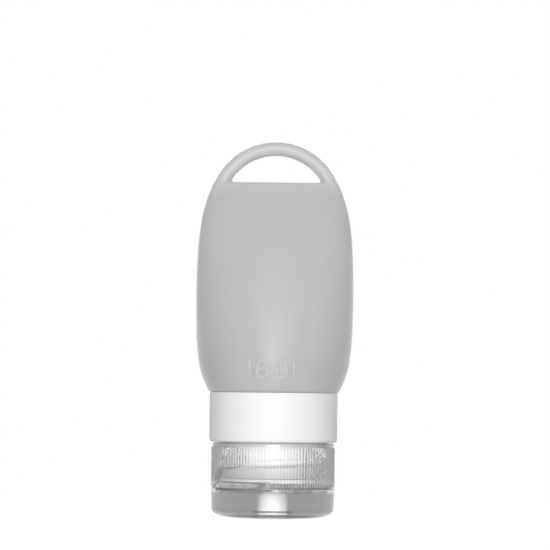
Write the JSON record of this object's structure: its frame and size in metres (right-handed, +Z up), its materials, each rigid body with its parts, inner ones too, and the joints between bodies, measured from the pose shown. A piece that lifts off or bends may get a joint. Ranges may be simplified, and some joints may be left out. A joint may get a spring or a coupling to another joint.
{
  "type": "travel squeeze bottle",
  "caption": "Soft silicone squeeze bottle that tapers to a flat top with a hanging loop, with a white collar and a clear ribbed screw cap with a flip lid that it stands on.",
  "frame": {"origin": "on the bottle's axis, on the surface that the closed lid stands on", "axes": "+Z up the bottle from the lid to the hanging loop, broad front face towards -Y, +X to the right of that face"},
  "size_m": [0.048, 0.0404, 0.1144],
  "materials": {
    "silicone": "frosted, satin",
    "collar": "satin white",
    "insert": "natural white",
    "washer": "soft matte",
    "clear_cap": "clear, polished",
    "valve": "white, satin"
  },
  "bodies": {
    "bottle": {"silicone_body": "silicone", "collar_ring": "collar", "neck_insert": "insert"},
    "seal": {"neck_gasket": "washer"},
    "cap": {"cap_base": "clear_cap", "slit_valve": "valve", "valve_retainer": "insert"},
    "lid": {"flip_lid": "clear_cap"}
  },
  "joints": [
    {"name": "cap_advance", "type": "slide", "parent": "bottle", "child": "seal", "axis": [0, 0, -1], "range_m": [0, 0.01051]},
    {"name": "cap_turn", "type": "hinge", "parent": "seal", "child": "cap", "pos_m": [0, 0, 0.016], "axis": [0, 0, -1], "range_deg": [0, 900]},
    {"name": "lid_hinge", "type": "hinge", "parent": "cap", "child": "lid", "pos_m": [0.011, 0.01694, 0.00907], "axis": [0.8387, -0.5446, 0], "range_deg": [0, 140]}
  ],
  "couplings": [
    {"joint": "cap_advance", "follows": "cap_turn", "m_per_rad": 0.00066845}
  ]
}
